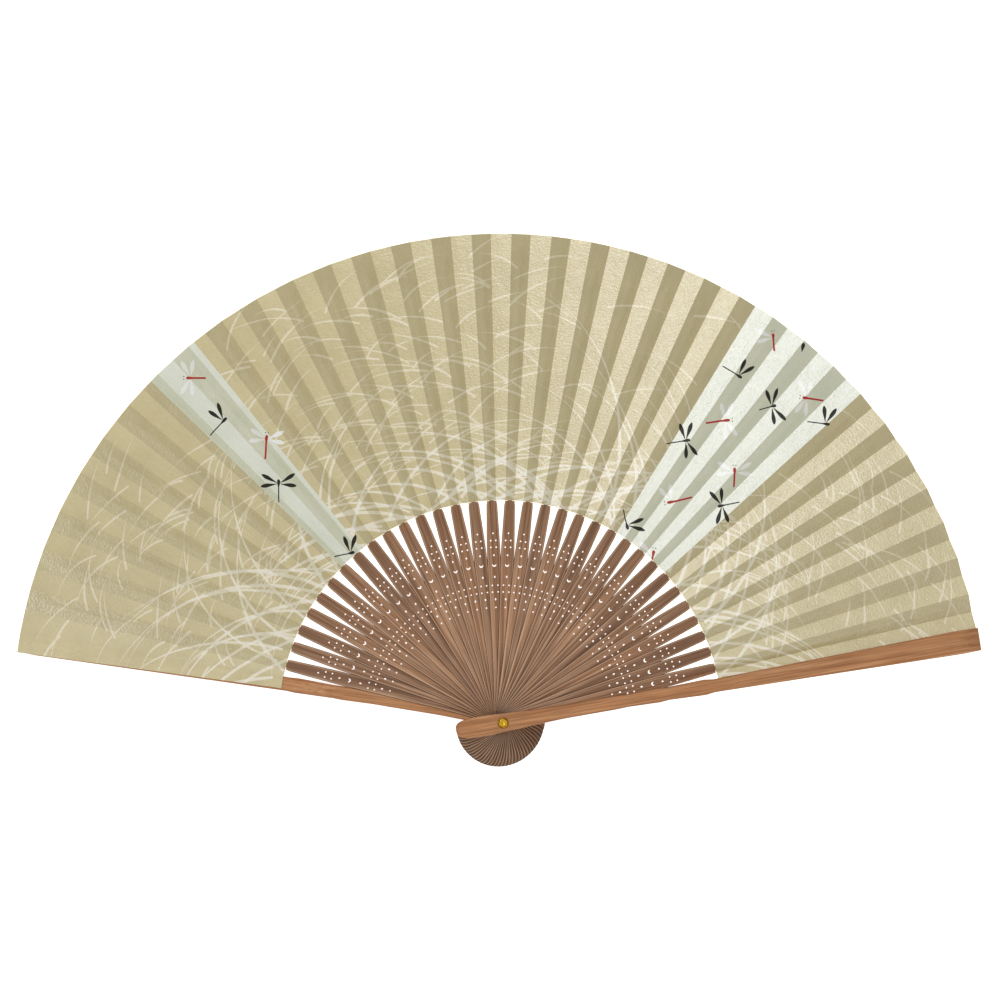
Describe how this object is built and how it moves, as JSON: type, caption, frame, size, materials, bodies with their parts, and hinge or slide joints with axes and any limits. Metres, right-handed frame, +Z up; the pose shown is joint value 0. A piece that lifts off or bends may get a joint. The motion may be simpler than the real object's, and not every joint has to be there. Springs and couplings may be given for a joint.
{
  "type": "hand fan",
  "caption": "Folding hand fan of pierced bamboo ribs between two guards, riveted at the heel, with a pleated paper leaf that opens and closes.",
  "frame": {"origin": "centre of the rivet's lower head, flush with the rear guard's underside, on the surface the fan rests on", "axes": "+Z up along the rivet, from the rear guard to the front guard; +X across the open fan from the rear guard's side to the front guard's side; +Y from the rivet towards the middle of the leaf"},
  "size_m": [0.4129, 0.228, 0.0237],
  "materials": {
    "guard_bamboo": "satin pale bamboo with a fine long grain",
    "rib_bamboo": "satin stained bamboo",
    "leaf_paper": "matt khaki paper with a light pearl sheen",
    "rivet_brass": "polished"
  },
  "bodies": {
    "rear_guard": {"rear_guard": "guard_bamboo", "rivet_pin": "rivet_brass", "rivet_washer_rear": "rivet_brass", "rivet_washer_front": "rivet_brass"},
    "rib_01": {"rib_01": "rib_bamboo", "leaf_section_01": "leaf_paper"},
    "rib_02": {"rib_02": "rib_bamboo"},
    "rib_03": {"rib_03": "rib_bamboo", "leaf_section_02": "leaf_paper"},
    "rib_04": {"rib_04": "rib_bamboo"},
    "rib_05": {"rib_05": "rib_bamboo", "leaf_section_03": "leaf_paper"},
    "rib_06": {"rib_06": "rib_bamboo"},
    "rib_07": {"rib_07": "rib_bamboo", "leaf_section_04": "leaf_paper"},
    "rib_08": {"rib_08": "rib_bamboo"},
    "rib_09": {"rib_09": "rib_bamboo", "leaf_section_05": "leaf_paper"},
    "rib_10": {"rib_10": "rib_bamboo"},
    "rib_11": {"rib_11": "rib_bamboo", "leaf_section_06": "leaf_paper"},
    "rib_12": {"rib_12": "rib_bamboo"},
    "rib_13": {"rib_13": "rib_bamboo", "leaf_section_07": "leaf_paper"},
    "rib_14": {"rib_14": "rib_bamboo"},
    "rib_15": {"rib_15": "rib_bamboo", "leaf_section_08": "leaf_paper"},
    "rib_16": {"rib_16": "rib_bamboo"},
    "rib_17": {"rib_17": "rib_bamboo", "leaf_section_09": "leaf_paper"},
    "rib_18": {"rib_18": "rib_bamboo"},
    "rib_19": {"rib_19": "rib_bamboo", "leaf_section_10": "leaf_paper"},
    "rib_20": {"rib_20": "rib_bamboo"},
    "rib_21": {"rib_21": "rib_bamboo", "leaf_section_11": "leaf_paper"},
    "rib_22": {"rib_22": "rib_bamboo"},
    "rib_23": {"rib_23": "rib_bamboo", "leaf_section_12": "leaf_paper"},
    "rib_24": {"rib_24": "rib_bamboo"},
    "rib_25": {"rib_25": "rib_bamboo", "leaf_section_13": "leaf_paper"},
    "rib_26": {"rib_26": "rib_bamboo"},
    "rib_27": {"rib_27": "rib_bamboo", "leaf_section_14": "leaf_paper"},
    "rib_28": {"rib_28": "rib_bamboo"},
    "rib_29": {"rib_29": "rib_bamboo", "leaf_section_15": "leaf_paper"},
    "rib_30": {"rib_30": "rib_bamboo"},
    "rib_31": {"rib_31": "rib_bamboo", "leaf_section_16": "leaf_paper"},
    "rib_32": {"rib_32": "rib_bamboo"},
    "rib_33": {"rib_33": "rib_bamboo", "leaf_section_17": "leaf_paper"},
    "front_guard": {"front_guard": "guard_bamboo"}
  },
  "joints": [
    {"name": "fan_fold", "type": "hinge", "parent": "rear_guard", "child": "front_guard", "pos_m": [0, 0, 0], "axis": [0, 0, 1], "range_deg": [0, 161.1], "deforming": ["leaf_section_01", "leaf_section_02", "leaf_section_03", "leaf_section_04", "leaf_section_05", "leaf_section_06", "leaf_section_07", "leaf_section_08", "leaf_section_09", "leaf_section_10", "leaf_section_11", "leaf_section_12", "leaf_section_13", "leaf_section_14", "leaf_section_15", "leaf_section_16", "leaf_section_17"]},
    {"name": "rib_01_turn", "type": "hinge", "parent": "rear_guard", "child": "rib_01", "pos_m": [0, 0, 0], "axis": [0, 0, 1], "range_deg": [0, 4.99]},
    {"name": "rib_02_turn", "type": "hinge", "parent": "rear_guard", "child": "rib_02", "pos_m": [0, 0, 0], "axis": [0, 0, 1], "range_deg": [0, 9.97]},
    {"name": "rib_03_turn", "type": "hinge", "parent": "rear_guard", "child": "rib_03", "pos_m": [0, 0, 0], "axis": [0, 0, 1], "range_deg": [0, 14.93]},
    {"name": "rib_04_turn", "type": "hinge", "parent": "rear_guard", "child": "rib_04", "pos_m": [0, 0, 0], "axis": [0, 0, 1], "range_deg": [0, 19.88]},
    {"name": "rib_05_turn", "type": "hinge", "parent": "rear_guard", "child": "rib_05", "pos_m": [0, 0, 0], "axis": [0, 0, 1], "range_deg": [0, 24.8]},
    {"name": "rib_06_turn", "type": "hinge", "parent": "rear_guard", "child": "rib_06", "pos_m": [0, 0, 0], "axis": [0, 0, 1], "range_deg": [0, 29.72]},
    {"name": "rib_07_turn", "type": "hinge", "parent": "rear_guard", "child": "rib_07", "pos_m": [0, 0, 0], "axis": [0, 0, 1], "range_deg": [0, 34.62]},
    {"name": "rib_08_turn", "type": "hinge", "parent": "rear_guard", "child": "rib_08", "pos_m": [0, 0, 0], "axis": [0, 0, 1], "range_deg": [0, 39.5]},
    {"name": "rib_09_turn", "type": "hinge", "parent": "rear_guard", "child": "rib_09", "pos_m": [0, 0, 0], "axis": [0, 0, 1], "range_deg": [0, 44.37]},
    {"name": "rib_10_turn", "type": "hinge", "parent": "rear_guard", "child": "rib_10", "pos_m": [0, 0, 0], "axis": [0, 0, 1], "range_deg": [0, 49.22]},
    {"name": "rib_11_turn", "type": "hinge", "parent": "rear_guard", "child": "rib_11", "pos_m": [0, 0, 0], "axis": [0, 0, 1], "range_deg": [0, 54.06]},
    {"name": "rib_12_turn", "type": "hinge", "parent": "rear_guard", "child": "rib_12", "pos_m": [0, 0, 0], "axis": [0, 0, 1], "range_deg": [0, 58.88]},
    {"name": "rib_13_turn", "type": "hinge", "parent": "rear_guard", "child": "rib_13", "pos_m": [0, 0, 0], "axis": [0, 0, 1], "range_deg": [0, 63.69]},
    {"name": "rib_14_turn", "type": "hinge", "parent": "rear_guard", "child": "rib_14", "pos_m": [0, 0, 0], "axis": [0, 0, 1], "range_deg": [0, 68.48]},
    {"name": "rib_15_turn", "type": "hinge", "parent": "rear_guard", "child": "rib_15", "pos_m": [0, 0, 0], "axis": [0, 0, 1], "range_deg": [0, 73.26]},
    {"name": "rib_16_turn", "type": "hinge", "parent": "rear_guard", "child": "rib_16", "pos_m": [0, 0, 0], "axis": [0, 0, 1], "range_deg": [0, 78.02]},
    {"name": "rib_17_turn", "type": "hinge", "parent": "rear_guard", "child": "rib_17", "pos_m": [0, 0, 0], "axis": [0, 0, 1], "range_deg": [0, 82.77]},
    {"name": "rib_18_turn", "type": "hinge", "parent": "rear_guard", "child": "rib_18", "pos_m": [0, 0, 0], "axis": [0, 0, 1], "range_deg": [0, 87.5]},
    {"name": "rib_19_turn", "type": "hinge", "parent": "rear_guard", "child": "rib_19", "pos_m": [0, 0, 0], "axis": [0, 0, 1], "range_deg": [0, 92.21]},
    {"name": "rib_20_turn", "type": "hinge", "parent": "rear_guard", "child": "rib_20", "pos_m": [0, 0, 0], "axis": [0, 0, 1], "range_deg": [0, 96.91]},
    {"name": "rib_21_turn", "type": "hinge", "parent": "rear_guard", "child": "rib_21", "pos_m": [0, 0, 0], "axis": [0, 0, 1], "range_deg": [0, 101.6]},
    {"name": "rib_22_turn", "type": "hinge", "parent": "rear_guard", "child": "rib_22", "pos_m": [0, 0, 0], "axis": [0, 0, 1], "range_deg": [0, 106.27]},
    {"name": "rib_23_turn", "type": "hinge", "parent": "rear_guard", "child": "rib_23", "pos_m": [0, 0, 0], "axis": [0, 0, 1], "range_deg": [0, 110.92]},
    {"name": "rib_24_turn", "type": "hinge", "parent": "rear_guard", "child": "rib_24", "pos_m": [0, 0, 0], "axis": [0, 0, 1], "range_deg": [0, 115.56]},
    {"name": "rib_25_turn", "type": "hinge", "parent": "rear_guard", "child": "rib_25", "pos_m": [0, 0, 0], "axis": [0, 0, 1], "range_deg": [0, 120.18]},
    {"name": "rib_26_turn", "type": "hinge", "parent": "rear_guard", "child": "rib_26", "pos_m": [0, 0, 0], "axis": [0, 0, 1], "range_deg": [0, 124.79]},
    {"name": "rib_27_turn", "type": "hinge", "parent": "rear_guard", "child": "rib_27", "pos_m": [0, 0, 0], "axis": [0, 0, 1], "range_deg": [0, 129.38]},
    {"name": "rib_28_turn", "type": "hinge", "parent": "rear_guard", "child": "rib_28", "pos_m": [0, 0, 0], "axis": [0, 0, 1], "range_deg": [0, 133.96]},
    {"name": "rib_29_turn", "type": "hinge", "parent": "rear_guard", "child": "rib_29", "pos_m": [0, 0, 0], "axis": [0, 0, 1], "range_deg": [0, 138.52]},
    {"name": "rib_30_turn", "type": "hinge", "parent": "rear_guard", "child": "rib_30", "pos_m": [0, 0, 0], "axis": [0, 0, 1], "range_deg": [0, 143.07]},
    {"name": "rib_31_turn", "type": "hinge", "parent": "rear_guard", "child": "rib_31", "pos_m": [0, 0, 0], "axis": [0, 0, 1], "range_deg": [0, 147.6]},
    {"name": "rib_32_turn", "type": "hinge", "parent": "rear_guard", "child": "rib_32", "pos_m": [0, 0, 0], "axis": [0, 0, 1], "range_deg": [0, 152.12]},
    {"name": "rib_33_turn", "type": "hinge", "parent": "rear_guard", "child": "rib_33", "pos_m": [0, 0, 0], "axis": [0, 0, 1], "range_deg": [0, 156.62]}
  ],
  "couplings": [
    {"joint": "rib_01_turn", "follows": "fan_fold", "ratio": 0.030982},
    {"joint": "rib_02_turn", "follows": "fan_fold", "ratio": 0.061868},
    {"joint": "rib_03_turn", "follows": "fan_fold", "ratio": 0.09266},
    {"joint": "rib_04_turn", "follows": "fan_fold", "ratio": 0.12336},
    {"joint": "rib_05_turn", "follows": "fan_fold", "ratio": 0.15396},
    {"joint": "rib_06_turn", "follows": "fan_fold", "ratio": 0.18446},
    {"joint": "rib_07_turn", "follows": "fan_fold", "ratio": 0.21487},
    {"joint": "rib_08_turn", "follows": "fan_fold", "ratio": 0.24519},
    {"joint": "rib_09_turn", "follows": "fan_fold", "ratio": 0.27541},
    {"joint": "rib_10_turn", "follows": "fan_fold", "ratio": 0.30554},
    {"joint": "rib_11_turn", "follows": "fan_fold", "ratio": 0.33557},
    {"joint": "rib_12_turn", "follows": "fan_fold", "ratio": 0.3655},
    {"joint": "rib_13_turn", "follows": "fan_fold", "ratio": 0.39534},
    {"joint": "rib_14_turn", "follows": "fan_fold", "ratio": 0.42509},
    {"joint": "rib_15_turn", "follows": "fan_fold", "ratio": 0.45474},
    {"joint": "rib_16_turn", "follows": "fan_fold", "ratio": 0.48429},
    {"joint": "rib_17_turn", "follows": "fan_fold", "ratio": 0.51375},
    {"joint": "rib_18_turn", "follows": "fan_fold", "ratio": 0.54311},
    {"joint": "rib_19_turn", "follows": "fan_fold", "ratio": 0.57238},
    {"joint": "rib_20_turn", "follows": "fan_fold", "ratio": 0.60156},
    {"joint": "rib_21_turn", "follows": "fan_fold", "ratio": 0.63064},
    {"joint": "rib_22_turn", "follows": "fan_fold", "ratio": 0.65962},
    {"joint": "rib_23_turn", "follows": "fan_fold", "ratio": 0.68851},
    {"joint": "rib_24_turn", "follows": "fan_fold", "ratio": 0.7173},
    {"joint": "rib_25_turn", "follows": "fan_fold", "ratio": 0.746},
    {"joint": "rib_26_turn", "follows": "fan_fold", "ratio": 0.7746},
    {"joint": "rib_27_turn", "follows": "fan_fold", "ratio": 0.80311},
    {"joint": "rib_28_turn", "follows": "fan_fold", "ratio": 0.83152},
    {"joint": "rib_29_turn", "follows": "fan_fold", "ratio": 0.85984},
    {"joint": "rib_30_turn", "follows": "fan_fold", "ratio": 0.88806},
    {"joint": "rib_31_turn", "follows": "fan_fold", "ratio": 0.91619},
    {"joint": "rib_32_turn", "follows": "fan_fold", "ratio": 0.94422},
    {"joint": "rib_33_turn", "follows": "fan_fold", "ratio": 0.97216}
  ]
}
